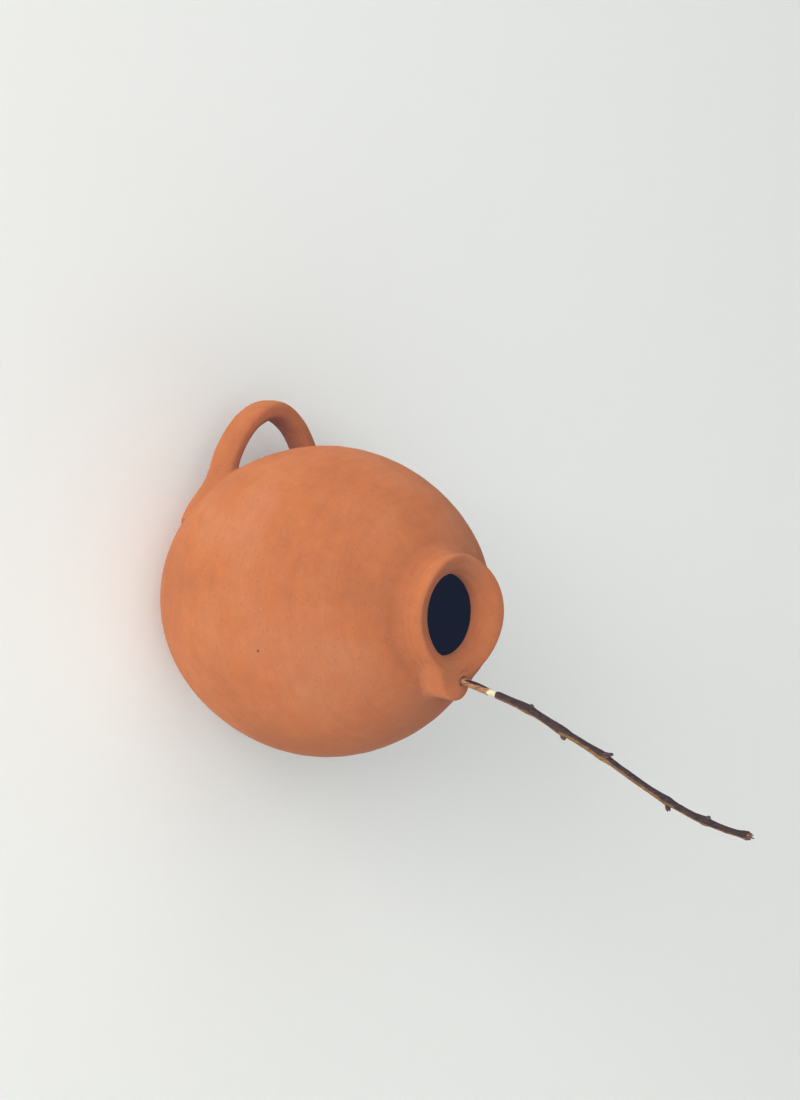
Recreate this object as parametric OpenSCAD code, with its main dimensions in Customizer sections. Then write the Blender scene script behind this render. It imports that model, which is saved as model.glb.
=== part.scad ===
// A wheel-thrown terracotta bird pot that hangs against a wall, with a twig perch pushed into its lug.
// +Z is up, the mouth looks along -Y, and the origin is the middle of the flat back, on the wall.
// The pot is turned about an axis along Y. "reach" means the distance out from the wall along it.

/* [Belly] */
// Greatest diameter of the belly
belly_d = 170; // [160:2:180]
// Reach of the widest ring
belly_mid = 82; // [80:1:84]
// Length from the widest ring over which the shoulder would close
shoulder_len = 95; // [94:1:98]
// Length from the widest ring over which the back would close
back_len = 97; // [95:1:100]
// Fullness of the curve: 2 is an ellipse, less is leaner
fullness = 1.9; // [1.85:0.05:2]
// Thickness of the thrown wall
wall = 6; // [5:0.5:7]
// Thickness of the flat back
back_t = 7; // [5:0.5:8]

/* [Mouth] */
// Diameter of the mouth
mouth_d = 43; // [40:1:50]
// Diameter over the rolled rim
rim_d = 66; // [62:1:68]
// Reach at which the shoulder ends and the neck collar starts
neck_start = 163; // [162:0.5:164]
// Reach at which the neck collar ends and the rim starts
rim_start = 172; // [171:0.5:173]
// Reach of the front of the rim
rim_front = 179.5; // [179:0.5:181]

/* [Perch lug] */
// Sideways place of the lug's middle
lug_x = -2; // [-4:0.5:2]
// Depth of the lug's lower edge below the axis
lug_drop = 45.5; // [44:0.5:48]
// Radius of the lug's rounded lower end
lug_r = 12.5; // [11:0.5:14]
// Sideways place of the twig hole
hole_x = 1.5; // [0:0.5:3]
// Depth of the twig hole's mouth below the axis
hole_drop = 35.5; // [34:0.5:37]
// Diameter of the twig hole
hole_d = 4.8; // [4.4:0.2:5.4]
// Depth of the twig hole
hole_len = 14; // [12:0.5:15]
// Fall of the hole towards the front, in degrees
hole_fall = 13; // [10:1:16]

/* [Strap handle] */
// Reach of the middle of the strap
strap_reach = 31; // [30:0.5:32]
// Height of the strap's outer face above the axis
strap_top = 109.5; // [107:0.5:112]
// Width of the strap, along the pot's axis
strap_w = 18; // [16:0.5:19]
// Thickness of the strap at the top of its arch
strap_t = 11; // [9:0.5:12]
// Angle from straight up at which each leg meets the belly
leg_angle = 42; // [40:1:44]
// Angle from straight up at which each smeared foot ends
foot_angle = 57; // [55:1:60]
// How far the arch is turned to the right round the pot's axis, in degrees
strap_turn = 5; // [0:1:8]

/* [Twig] */
// Diameter of the whittled end in the hole
peg_d = 3.8; // [3.4:0.1:3.8]
// Diameter of the twig over its bark, near the pot
bark_d = 4.1; // [3.8:0.1:4.6]
// Diameter of the bare wood inside the bark
core_d = 2.2; // [1.8:0.1:2.6]
// How far the end of the broken wood stands out of the bark
splinter_len = 3; // [2:0.5:4]

/* [Hidden] */

clay = "#c67a52";
clay_pale = "#cf8a62";
peeled = "#b9854e";
bark = "#5c4338";
spur = "#463129";

belly_r = belly_d / 2;
rim_r = rim_d / 2;
mouth_r = mouth_d / 2;
luted = 1.5;          // how far a joined-on piece is pressed into the wall
foot_fall = 4;        // how far each foot sinks towards its end
leg_thin = 2;         // how much thinner the strap's legs are than its top
strap_corner = 0.6;   // roundness of the strap's section: 1 is an ellipse, less is squarer
ring_step = 4;        // reach between the rings that draw the belly

// The twig's route as [out from the lug's face, up], in millimetres
TWIG = [[0, 0], [18, -4.2], [28, -6.4], [44, -10.8], [63, -18.6], [76, -23.6], [90, -29.3],
        [102, -35], [115, -41], [128, -46.3], [140, -50.5], [151, -53.4], [162, -55.6], [174, -56.8]];
TWIG_END = len(TWIG) - 1;
TWIG_STEPS = 2;       // rings drawn for each stretch of the route
BARK_START = 1.65;    // place along the route, counted in points, where the bark starts
// Each spur as [place along the route, side (1 up, -1 down), length, radius at its foot]
SPURS = [[2.85, 1, 1.6, 1.3], [4.1, -1, 2.6, 1.2], [5.95, 1, 5.5, 1.4], [9, -1, 3.4, 1.3], [10.9, 1, 1.4, 1.2]];

function mix(a, b, t) = a + (b - a) * t;
function smooth(t) = let (c = max(0, min(1, t))) c * c * (3 - 2 * c);

// Radius of a closed bulging curve at a given reach
function bulge(reach, r, front, back) =
    let (t = abs(reach - belly_mid) / (reach > belly_mid ? front : back))
    r * sqrt(1 - pow(t, fullness));
function outer_r(reach) = bulge(reach, belly_r, shoulder_len, back_len);
function inner_r(reach) = bulge(reach, belly_r - wall, shoulder_len - wall, back_len - wall);

// Rings of the neck collar, from the shoulder to the rim: concave outside, a short throat that flares inside
function neck_out(t) = [mix(outer_r(neck_start), rim_r - 0.8, pow(sin(90 * t), 0.85)),
                        mix(neck_start, rim_start, pow(t, 1.1))];
function neck_in(t) = [mix(inner_r(neck_start), mouth_r, sqrt(sin(90 * t))),
                       mix(neck_start, rim_start, pow(t, 1.4))];
NECK_RINGS = [for (i = [0:8]) i / 8];

// Puts a shape drawn along +Z onto the pot's axis, with its +Y turned to up
module on_axis() rotate([90, 0, 0]) children();

// The outside of the whole turned body, drawn in by "inset", as one closed solid
module turned_core(inset) {
    rings = [for (d = [0:ring_step:neck_start]) [outer_r(d) - inset, d]];
    collar = [for (t = NECK_RINGS) [neck_out(t)[0] - inset, neck_out(t)[1]]];
    ends = [[rim_r - 0.8 - inset, rim_front + 10], [0, rim_front + 10]];
    rotate_extrude($fn = 96) polygon(concat([[0, 0]], rings, collar, ends));
}

// The blind hole for the twig, with a small countersink at its mouth
module twig_hole() {
    translate([hole_x, -rim_front, -hole_drop]) rotate([90 + hole_fall, 0, 0]) {
        translate([0, 0, -hole_len]) cylinder(h = hole_len + 12, d = hole_d, $fn = 48);
        translate([0, 0, -0.8]) cylinder(h = 2, d1 = hole_d, d2 = hole_d + 4, $fn = 48);
    }
}

module back_disc() {
    edge = 2;
    foot = outer_r(edge);
    round_edge = [for (a = [0:30:90]) [foot - edge + edge * sin(a), edge - edge * cos(a)]];
    outside = [for (d = [edge + 1.5:1:back_t - 0.5]) [outer_r(d), d]];
    color(clay) on_axis() rotate_extrude($fn = 120)
        polygon(concat([[0, 0]], round_edge, outside, [[outer_r(back_t), back_t], [0, back_t]]));
}

module belly_shell() {
    reaches = concat([for (d = [back_t:ring_step:neck_start - 1]) d], [neck_start]);
    last = len(reaches) - 1;
    outside = [for (d = reaches) [outer_r(d), d]];
    inside = [for (i = [0:last]) [inner_r(reaches[last - i]), reaches[last - i]]];
    color(clay) on_axis() rotate_extrude($fn = 120) polygon(concat(outside, inside));
}

module neck_collar() {
    last = len(NECK_RINGS) - 1;
    outside = [for (t = NECK_RINGS) neck_out(t)];
    inside = [for (i = [0:last]) neck_in(NECK_RINGS[last - i])];
    color(clay) difference() {
        on_axis() rotate_extrude($fn = 120) polygon(concat(outside, inside));
        twig_hole();
    }
}

// A rolled lip whose face slopes in towards the throat
module rim() {
    roll = 3.2;
    centre = [rim_r - roll, rim_front - roll];
    lip = [for (a = [-30:20:110]) centre + roll * [cos(a), sin(a)]];
    throat = [[mouth_r + 1.2, rim_front - 3.4], [mouth_r, rim_front - 5], [mouth_r, rim_start]];
    color(clay_pale) difference() {
        on_axis() rotate_extrude($fn = 120) polygon(concat([[rim_r - 0.8, rim_start]], lip, throat));
        twig_hole();
    }
}

// Outline of the lug seen from the front: a tongue that widens up to the rim
module lug_outline(grow) {
    hull() {
        translate([lug_x, lug_r - lug_drop]) circle(r = lug_r + grow, $fn = 32);
        for (side = [-1, 1])
            translate([side * 22, -17]) circle(r = 5 + grow, $fn = 32);
    }
}

module perch_lug() {
    color(clay) difference() {
        on_axis() hull() {
            translate([0, 0, rim_front - 0.6]) linear_extrude(0.4) lug_outline(-2);
            translate([0, 0, rim_front - 3]) linear_extrude(0.4) lug_outline(0);
            translate([0, 0, neck_start - 13]) linear_extrude(0.4) lug_outline(-3);
        }
        on_axis() turned_core(luted);
        twig_hole();
    }
}

// The strap's outer face springs from the belly as a raised cosine, and its feet sink away at their ends
function strap_rise(a) = abs(a) < leg_angle ? pow(cos(90 * a / leg_angle), 2) : 0;
function foot_run(a) = smooth((abs(a) - leg_angle) / (foot_angle - leg_angle));
function strap_outer(a) =
    let (skin = outer_r(strap_reach) + 0.4)
    skin - foot_fall * foot_run(a) + (strap_top - skin) * strap_rise(a);
function strap_thick(a) = mix(strap_t, strap_t - leg_thin, smooth(abs(a) / 22));
function strap_mid(a) = (strap_outer(a) - strap_thick(a) / 2) * [sin(a), cos(a)];
function strap_out(a) = let (t = strap_mid(a + 0.5) - strap_mid(a - 0.5)) [-t[1], t[0]] / norm(t);
function strap_half_w(a) = strap_w / 2 + foot_run(a);

STRAP_SIDES = 16;
STRAP_RINGS = 40;
function strap_ring(a) =
    let (mid = strap_mid(a), n = strap_out(a))
    [for (k = [0:STRAP_SIDES - 1])
        let (w = 360 * k / STRAP_SIDES,
             along = strap_half_w(a) * sign(cos(w)) * pow(abs(cos(w)), strap_corner),
             out = strap_thick(a) / 2 * sign(sin(w)) * pow(abs(sin(w)), strap_corner))
        [mid[0] + n[0] * out, mid[1] + n[1] * out, strap_reach + along]];

// Joins rings of points, all with the same number of sides, into one closed solid
module skin_rings(rings) {
    sides = len(rings[0]);
    last = len(rings) - 1;
    walls = [for (i = [0:last - 1]) for (k = [0:sides - 1])
        let (a = i * sides + k, b = i * sides + (k + 1) % sides) each [[a, b, b + sides], [a, b + sides, a + sides]]];
    first_cap = [[for (k = [0:sides - 1]) sides - 1 - k]];
    last_cap = [[for (k = [0:sides - 1]) last * sides + k]];
    polyhedron(points = [for (r = rings) each r], faces = concat(walls, first_cap, last_cap), convexity = 6);
}

module strap_handle() {
    angles = [for (i = [0:STRAP_RINGS]) mix(-foot_angle, foot_angle, i / STRAP_RINGS)];
    color(clay) difference() {
        on_axis() rotate(-strap_turn) skin_rings([for (a = angles) strap_ring(a)]);
        on_axis() turned_core(luted);
    }
}

// The twig's route, rounded between its points
function route_point(i) = TWIG[max(0, min(TWIG_END, i))];
function route(s) =
    let (i = min(TWIG_END - 1, floor(s)), t = s - i,
         p = route_point(i), q = route_point(i + 1),
         m = (q - route_point(i - 1)) / 2, n = (route_point(i + 2) - p) / 2)
    (2 * pow(t, 3) - 3 * t * t + 1) * p + (pow(t, 3) - 2 * t * t + t) * m
    + (3 * t * t - 2 * pow(t, 3)) * q + (pow(t, 3) - t * t) * n;
function route_dir(s) = let (d = route(min(TWIG_END, s + 0.1)) - route(max(0, s - 0.1))) d / norm(d);
function twig_ring(s, r, sides) =
    let (c = route(s), d = route_dir(s))
    [for (k = [0:sides - 1]) let (w = 360 * k / sides)
        [r * cos(w), c[1] - r * sin(w) * d[0], c[0] + r * sin(w) * d[1]]];

// The bark thins towards the broken end, and swells at each spur and at the break
function swelling(s) = max([for (p = SPURS) 0.5 * exp(-pow((s - p[0]) / 0.25, 2))]);
function bark_r(s) = bark_d / 2 * mix(1, 0.78, s / TWIG_END) + swelling(s) + 0.5 * smooth((s - TWIG_END + 1));

// Stands its children on the lug's face at the mouth of the twig hole
module at_hole() translate([hole_x, -rim_front, -hole_drop]) on_axis() children();

module twig_wood() {
    core = [for (i = [0:TWIG_STEPS * TWIG_END]) i / TWIG_STEPS];
    color(peeled) at_hole() {
        rotate([hole_fall, 0, 0]) translate([0, 0, 1 - hole_len]) cylinder(h = hole_len + 3, d = peg_d, $fn = 48);
        skin_rings([for (s = core)
            twig_ring(s, mix(peg_d / 2 - 0.1, core_d / 2, smooth((s - BARK_START + 0.25) / 0.25)), 10)]);
        translate([0, route(TWIG_END)[1], route(TWIG_END)[0]])
            for (p = [[-0.4, 0.5, splinter_len], [0.5, -0.3, splinter_len - 1]])
                translate([p[0], p[1], -0.5]) cylinder(h = p[2], r1 = core_d / 4, r2 = 0.15, $fn = 16);
    }
}

module twig_bark() {
    rings = concat([BARK_START], [for (i = [TWIG_STEPS * 2:TWIG_STEPS * TWIG_END]) i / TWIG_STEPS]);
    color(bark) at_hole() difference() {
        skin_rings([for (s = rings) twig_ring(s, bark_r(s), 12)]);
        skin_rings([for (i = [2:TWIG_STEPS * TWIG_END + 2])
            let (s = i / TWIG_STEPS)
            s <= TWIG_END ? twig_ring(s, core_d / 2 - 0.05, 10)
                          : [for (q = twig_ring(TWIG_END, core_d / 2 - 0.05, 10)) q + [0, 0, 2 * (s - TWIG_END)]]]);
    }
}

module twig_spurs() {
    color(spur) at_hole() for (p = SPURS) {
        c = route(p[0]);
        d = route_dir(p[0]);
        tilt = atan2(-d[1], d[0]) - p[1] * 48;
        translate([0, c[1], c[0]]) rotate([tilt, 0, 0]) translate([0, 0, bark_r(p[0]) * 0.7]) {
            cylinder(h = p[2], r1 = p[3], r2 = p[3] * 0.55, $fn = 20);
            translate([0, 0, p[2]]) sphere(r = p[3] * 0.75, $fn = 20);
        }
    }
}

back_disc();
belly_shell();
neck_collar();
rim();
perch_lug();
strap_handle();
twig_wood();
twig_bark();
twig_spurs();
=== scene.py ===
"""Looks of a terracotta nesting pot with a twig perch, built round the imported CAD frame.

The pot hangs on its side on a wall. Its back lies flat on the plane y = 0 and its mouth looks
along -Y. "Reach" is the distance out from the wall, "radius" the distance from the pot's axis,
and "turn" the angle round the axis, 0 at the top and a quarter turn at +X. Sizes in the classes
are millimetres, and every mesh is written out in metres, in the CAD frame.
"""

import logging
import math
from dataclasses import dataclass, field
from enum import Enum
from typing import Any, Callable, Optional, Sequence

import bmesh
import bpy
import numpy as np
from mathutils import Matrix, Vector


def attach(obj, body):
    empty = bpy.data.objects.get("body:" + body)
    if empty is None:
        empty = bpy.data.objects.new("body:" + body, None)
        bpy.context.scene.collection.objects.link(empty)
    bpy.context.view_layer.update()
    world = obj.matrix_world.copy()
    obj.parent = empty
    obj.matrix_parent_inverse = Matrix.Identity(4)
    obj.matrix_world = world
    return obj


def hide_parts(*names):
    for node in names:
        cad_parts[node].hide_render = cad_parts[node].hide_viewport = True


logging.basicConfig(level=logging.INFO, format="%(message)s")
LOG = logging.getLogger("bird_pot")

MM = 0.001
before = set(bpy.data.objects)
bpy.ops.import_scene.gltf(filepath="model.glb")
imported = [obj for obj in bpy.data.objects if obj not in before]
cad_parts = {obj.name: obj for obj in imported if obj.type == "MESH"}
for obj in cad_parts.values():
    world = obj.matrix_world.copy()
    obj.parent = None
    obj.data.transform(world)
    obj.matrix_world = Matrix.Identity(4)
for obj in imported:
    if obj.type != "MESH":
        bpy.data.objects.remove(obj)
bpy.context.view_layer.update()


class Slot(Enum):
    """Names of the material slots."""

    CLAY = "terracotta"
    WOOD = "peeled_wood"
    BARK = "bark"
    BUD = "bud_scale"


class Body(Enum):
    """The CAD bodies that pieces ride on."""

    POT = "pot"
    PERCH = "perch"


# ---------------------------------------------------------------- small helpers


def linear(hex_colour: str) -> tuple[float, float, float, float]:
    """Turns an sRGB hex colour into a linear RGBA value.

    Args:
        hex_colour: six hex digits after a "#".

    Returns:
        Linear red, green, blue and an alpha of 1.
    """
    parts = [int(hex_colour[i : i + 2], 16) / 255 for i in (1, 3, 5)]
    toe = [c / 12.92 if c <= 0.04045 else ((c + 0.055) / 1.055) ** 2.4 for c in parts]
    return (toe[0], toe[1], toe[2], 1.0)


def per_mm(size: float) -> float:
    """Returns the texture scale that gives features of this size in millimetres."""
    return 1.0 / (size * MM)


def add_node(
    tree: bpy.types.NodeTree,
    kind: str,
    settings: Optional[dict[str, Any]] = None,
    inputs: Optional[dict[Any, Any]] = None,
) -> bpy.types.Node:
    """Adds one node with its settings, values and links.

    Args:
        tree: the node tree.
        kind: the node's type name.
        settings: node properties; "stops" holds a ramp's (position, hex colour) pairs.
        inputs: values or output sockets to link, by input name or index.

    Returns:
        The new node.
    """
    node = tree.nodes.new(kind)
    for key, value in (settings or {}).items():
        if key == "stops":
            ramp = node.color_ramp
            while len(ramp.elements) < len(value):
                ramp.elements.new(0.5)
            for element, (place, colour) in zip(ramp.elements, value):
                element.position = place
                element.color = linear(colour)
        else:
            setattr(node, key, value)
    for key, value in (inputs or {}).items():
        if isinstance(value, bpy.types.NodeSocket):
            tree.links.new(value, node.inputs[key])
        else:
            node.inputs[key].default_value = value
    return node


def math_node(tree: bpy.types.NodeTree, operation: str, *values: Any) -> bpy.types.Node:
    """Adds a maths node.

    Args:
        tree: the node tree.
        operation: what the node works out.
        values: its inputs in order, as numbers or output sockets.

    Returns:
        The new node.
    """
    return add_node(tree, "ShaderNodeMath", {"operation": operation}, dict(enumerate(values)))


def map_range(tree: bpy.types.NodeTree, *values: Any) -> bpy.types.Node:
    """Adds a node that maps one range of values on to another.

    Args:
        tree: the node tree.
        values: the value, the range it comes from and, unless that is 0 to 1, the range it
            goes to.

    Returns:
        The new node.
    """
    return add_node(tree, "ShaderNodeMapRange", None, dict(enumerate(values)))


def smoothstep(low: float, high: float, value: np.ndarray) -> np.ndarray:
    """Returns a smooth 0 to 1 rise of the value between low and high."""
    t = np.clip((value - low) / (high - low), 0.0, 1.0)
    return t * t * (3.0 - 2.0 * t)


def bell(value: np.ndarray, centre: float, width: float) -> np.ndarray:
    """Returns a bell curve of height 1 round the centre."""
    return np.exp(-(((value - centre) / width) ** 2))


def through(places: Sequence[float], values: Sequence[float], at: np.ndarray) -> np.ndarray:
    """Reads a smooth curve through known points.

    Args:
        places: rising positions of the known points.
        values: their values.
        at: positions to read.

    Returns:
        The curve's values, by cubic pieces whose slopes come from the neighbours.
    """
    x = np.asarray(places, float)
    y = np.asarray(values, float)
    slope = np.gradient(y, x)
    i = np.clip(np.searchsorted(x, at) - 1, 0, len(x) - 2)
    h = x[i + 1] - x[i]
    t = np.clip((at - x[i]) / h, 0.0, 1.0)
    a, b = 2 * t**3 - 3 * t**2 + 1, t**3 - 2 * t**2 + t
    c, d = -2 * t**3 + 3 * t**2, t**3 - t**2
    return a * y[i] + b * h * slope[i] + c * y[i + 1] + d * h * slope[i + 1]


def new_object(name: str, verts: np.ndarray, faces: Sequence[Sequence[int]]) -> bpy.types.Object:
    """Makes a smooth-shaded mesh object from millimetre points.

    Args:
        name: the piece's name.
        verts: points in millimetres, in the CAD frame.
        faces: corner indices of each face.

    Returns:
        The linked object.
    """
    mesh = bpy.data.meshes.new(name)
    mesh.from_pydata((np.asarray(verts) * MM).tolist(), [], [list(f) for f in faces])
    mesh.update()
    mesh.shade_smooth()
    piece = bpy.data.objects.new(name, mesh)
    bpy.context.scene.collection.objects.link(piece)
    return piece


def bake_tree(
    source: bpy.types.Object, tree: bpy.types.NodeTree, values: dict[str, Any], name: str
) -> bpy.types.Object:
    """Runs a Geometry Nodes tree on an object and keeps the result as a plain mesh.

    Args:
        source: the object that the tree reads; it is removed afterwards.
        tree: the Geometry Nodes tree.
        values: the tree's named inputs.
        name: the name of the finished piece.

    Returns:
        A new object at the origin with the finished mesh and no modifier.
    """
    modifier = source.modifiers.new(tree.name, "NODES")
    modifier.node_group = tree
    sockets = {s.name: s.identifier for s in tree.interface.items_tree if s.in_out == "INPUT"}
    for key, value in values.items():
        modifier[sockets[key]] = value
    bpy.context.view_layer.update()
    graph = bpy.context.evaluated_depsgraph_get()
    mesh = bpy.data.meshes.new_from_object(source.evaluated_get(graph))
    mesh.name = name
    piece = bpy.data.objects.new(name, mesh)
    bpy.context.scene.collection.objects.link(piece)
    source.modifiers.remove(modifier)
    bpy.data.objects.remove(source)
    return piece


def new_tree(name: str, inputs: Sequence[tuple[str, str, Any]]) -> tuple[Any, Any]:
    """Starts a Geometry Nodes tree with a geometry input and output.

    Args:
        name: the tree's name.
        inputs: (name, socket type, default value) of each further input.

    Returns:
        The tree and its group input node.
    """
    tree = bpy.data.node_groups.new(name, "GeometryNodeTree")
    face = tree.interface
    face.new_socket("Geometry", in_out="INPUT", socket_type="NodeSocketGeometry")
    face.new_socket("Geometry", in_out="OUTPUT", socket_type="NodeSocketGeometry")
    for label, kind, default in inputs:
        socket = face.new_socket(label, in_out="INPUT", socket_type=kind)
        if default is not None:
            socket.default_value = default
    return tree, tree.nodes.new("NodeGroupInput")


def finish_tree(tree: bpy.types.NodeTree, geometry: Any, material: Any) -> None:
    """Ends a Geometry Nodes tree in Realize Instances, smooth shading and Set Material.

    Args:
        tree: the tree.
        geometry: the socket that holds the finished geometry.
        material: the socket that holds the material.
    """
    real = add_node(tree, "GeometryNodeRealizeInstances", None, {0: geometry})
    smooth = add_node(tree, "GeometryNodeSetShadeSmooth", None, {0: real.outputs[0]})
    dressed = add_node(
        tree, "GeometryNodeSetMaterial", None, {0: smooth.outputs[0], "Material": material}
    )
    add_node(tree, "NodeGroupOutput", None, {0: dressed.outputs[0]})


def new_material(name: str) -> tuple[bpy.types.Material, bpy.types.NodeTree]:
    """Makes an empty material.

    Args:
        name: the material's name.

    Returns:
        The material and its node tree, with no nodes in it.
    """
    mat = bpy.data.materials.new(name)
    mat.use_nodes = True
    mat.node_tree.nodes.clear()
    return mat, mat.node_tree


def surface_of(
    depth_at: Callable[[np.ndarray], np.ndarray], low: Sequence[float], high: Sequence[float],
    step: float,
) -> tuple[np.ndarray, np.ndarray]:
    """Meshes the zero surface of a distance field with surface nets.

    Args:
        depth_at: gives the signed distance, negative inside, of an (n, 3) array of points.
        low: lowest corner of the box that holds the shape, in millimetres.
        high: highest corner.
        step: grid spacing in millimetres.

    Returns:
        Points and quads of a closed mesh whose faces point outwards.
    """
    start = np.asarray(low, float)
    counts = np.ceil((np.asarray(high, float) - start) / step).astype(int) + 1
    axes = [start[a] + step * np.arange(counts[a]) for a in range(3)]
    grid = np.stack(np.meshgrid(*axes, indexing="ij"), -1).reshape(-1, 3)
    value = depth_at(grid).reshape(counts)
    total = np.zeros(tuple(counts - 1) + (3,))
    number = np.zeros(tuple(counts - 1), int)
    crossings = []
    for axis in range(3):
        head = [slice(None)] * 3
        tail = [slice(None)] * 3
        head[axis], tail[axis] = slice(0, -1), slice(1, None)
        first, second = value[tuple(head)], value[tuple(tail)]
        index = np.argwhere((first < 0) != (second < 0))
        keep = np.ones(len(index), bool)
        sides = [a for a in range(3) if a != axis]
        for side in sides:
            keep &= (index[:, side] > 0) & (index[:, side] < counts[side] - 1)
        index = index[keep]
        v0 = first[tuple(index.T)]
        v1 = second[tuple(index.T)]
        point = index.astype(float)
        point[:, axis] += v0 / (v0 - v1)
        cells = []
        for back_a, back_b in ((1, 1), (0, 1), (0, 0), (1, 0)):
            cell = index.copy()
            cell[:, sides[0]] -= back_a
            cell[:, sides[1]] -= back_b
            cells.append(cell)
            np.add.at(total, tuple(cell.T), point)
            np.add.at(number, tuple(cell.T), 1)
        crossings.append((axis, v0 < 0, cells))
    used = number > 0
    label = np.full(number.shape, -1)
    label[used] = np.arange(used.sum())
    points = start + step * (total[used] / number[used][:, None])
    quads = []
    for axis, outward, cells in crossings:
        corner = np.stack([label[tuple(c.T)] for c in cells], -1)
        flip = outward if axis != 1 else ~outward
        corner[~flip] = corner[~flip][:, ::-1]
        quads.append(corner)
    for _ in range(3):
        here = depth_at(points)
        slope = np.stack(
            [(depth_at(points + 0.02 * np.eye(3)[a]) - here) / 0.02 for a in range(3)], -1
        )
        size = np.maximum((slope**2).sum(-1), 0.25)
        move = np.clip(here / size, -0.4 * step, 0.4 * step)
        points = points - slope * move[:, None]
    return points, np.concatenate(quads)


def soft_join(first: np.ndarray, second: np.ndarray, fillet: Any) -> np.ndarray:
    """Joins two distance fields with a fillet, as a wet clay joint is smoothed.

    Args:
        first: signed distances to one solid.
        second: signed distances to the other.
        fillet: width of the blend in millimetres, a number or one per point.

    Returns:
        Signed distances to the joined solid.
    """
    width = np.maximum(fillet, 1e-3)
    blend = np.maximum(width - np.abs(first - second), 0.0) / width
    return np.minimum(first, second) - blend * blend * width * 0.25


# ---------------------------------------------------------------- finishes


@dataclass(frozen=True)
class Terracotta:
    """Unglazed red earthenware, thrown on a wheel and fired to about 1000 degrees.

    It is dry and matt with a little sand in it. The colour drifts from orange to a dusty pink
    where salts have come out, fine rings show where fingers and a rib ran round, and small dark
    and pale grains and a few pin holes break the surface.
    """

    name: str = "unglazed_terracotta"
    clay: str = "#a45e2f"
    clay_deep: str = "#9a582c"
    clay_pink: str = "#a6653c"
    bloom: str = "#a97650"
    grit_dark: str = "#7f4426"
    grit_pale: str = "#ac7750"
    # Near-black painted shade for the pot's inner wall
    inner_shade: str = "#05070b"
    pits: tuple[tuple[float, float, float, float], ...] = (
        (-13.0, -178.6, 26.4, 1.1), (-78.9, -109.4, -17.9, 0.9))

    def material(self) -> bpy.types.Material:
        """Returns the clay material, with its inner wall painted near black as painted shade where
        "inner_wall" is 1.
        """
        mat, tree = new_material(self.name)
        place = add_node(tree, "ShaderNodeTexCoord").outputs["Object"]
        patches = add_node(
            tree, "ShaderNodeTexNoise", None,
            {"Vector": place, "Scale": per_mm(58), "Detail": 3.0, "Roughness": 0.55},
        )
        mottle = add_node(
            tree, "ShaderNodeTexNoise", None,
            {"Vector": place, "Scale": per_mm(7), "Detail": 4.0, "Roughness": 0.6},
        )
        tone = add_node(
            tree, "ShaderNodeValToRGB",
            {"stops": ((0.33, self.clay_deep), (0.5, self.clay), (0.68, self.clay_pink))},
            {0: patches.outputs[0]},
        )
        mottled = add_node(
            tree, "ShaderNodeValToRGB",
            {"stops": ((0.3, "#b9b9b9"), (0.5, "#c3c3c3"), (0.72, "#cfcfcf"))},
            {0: mottle.outputs[0]},
        )
        base = add_node(
            tree, "ShaderNodeMix",
            {"data_type": "RGBA", "blend_type": "OVERLAY"},
            {0: 0.5, 6: tone.outputs[0], 7: mottled.outputs[0]},
        )
        # Rings: a noise read on (radius, reach) only, so that it runs round the axis
        flat = add_node(
            tree, "ShaderNodeVectorMath", {"operation": "MULTIPLY"},
            {0: place, 1: (1.0, 0.0, 1.0)},
        )
        radius = add_node(
            tree, "ShaderNodeVectorMath", {"operation": "LENGTH"}, {0: flat.outputs[0]}
        )
        split = add_node(tree, "ShaderNodeSeparateXYZ", None, {0: place})
        drift = add_node(
            tree, "ShaderNodeTexNoise", None,
            {"Vector": place, "Scale": per_mm(45), "Detail": 1.0},
        )
        sway = math_node(tree, "MULTIPLY_ADD", drift.outputs[0], 0.006, split.outputs[1])
        ring_at = add_node(
            tree, "ShaderNodeCombineXYZ", None, {0: radius.outputs["Value"], 1: sway.outputs[0]}
        )
        rings = add_node(
            tree, "ShaderNodeTexNoise", None,
            {"Vector": ring_at.outputs[0], "Scale": per_mm(2.6), "Detail": 3.0, "Roughness": 0.7},
        )
        ringed = map_range(tree, rings.outputs[0], 0.3, 0.7, -0.5, 0.5)
        # Sand: grains about 0.7 mm across, of which few differ from the clay
        grains = add_node(
            tree, "ShaderNodeTexVoronoi", None, {"Vector": place, "Scale": per_mm(0.9)}
        )
        pick = add_node(tree, "ShaderNodeSeparateColor", None, {0: grains.outputs["Color"]})
        near = map_range(tree, grains.outputs["Distance"], 0.42, 0.2)
        dark_few = map_range(tree, pick.outputs[0], 0.95, 0.98)
        pale_few = map_range(tree, pick.outputs[1], 0.94, 0.98)
        dark_mask = math_node(tree, "MULTIPLY", near.outputs[0], dark_few.outputs[0])
        pale_mask = math_node(tree, "MULTIPLY", near.outputs[0], pale_few.outputs[0])
        # Salt bloom: a dusty paler film in broad uneven patches
        dust = add_node(
            tree, "ShaderNodeTexNoise", None,
            {"Vector": place, "Scale": per_mm(34), "Detail": 6.0, "Roughness": 0.62,
             "Distortion": 0.4},
        )
        film = map_range(tree, dust.outputs[0], 0.5, 0.8, 0.0, 0.3)
        dusty = add_node(
            tree, "ShaderNodeMix", {"data_type": "RGBA"},
            {0: film.outputs[0], 6: base.outputs[2], 7: linear(self.bloom)},
        )
        dark = add_node(
            tree, "ShaderNodeMix", {"data_type": "RGBA"},
            {0: dark_mask.outputs[0], 6: dusty.outputs[2], 7: linear(self.grit_dark)},
        )
        pale = add_node(
            tree, "ShaderNodeMix", {"data_type": "RGBA"},
            {0: pale_mask.outputs[0], 6: dark.outputs[2], 7: linear(self.grit_pale)},
        )
        # The ring grooves are painted a little darker: painted shade in the grooves
        ring_groove_shade = map_range(tree, ringed.outputs[0], -0.5, 0.1, 0.16, 0.0)
        colour = add_node(
            tree, "ShaderNodeMix", {"data_type": "RGBA"},
            {0: ring_groove_shade.outputs[0], 6: pale.outputs[2], 7: linear(self.clay_deep)},
        )
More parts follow.
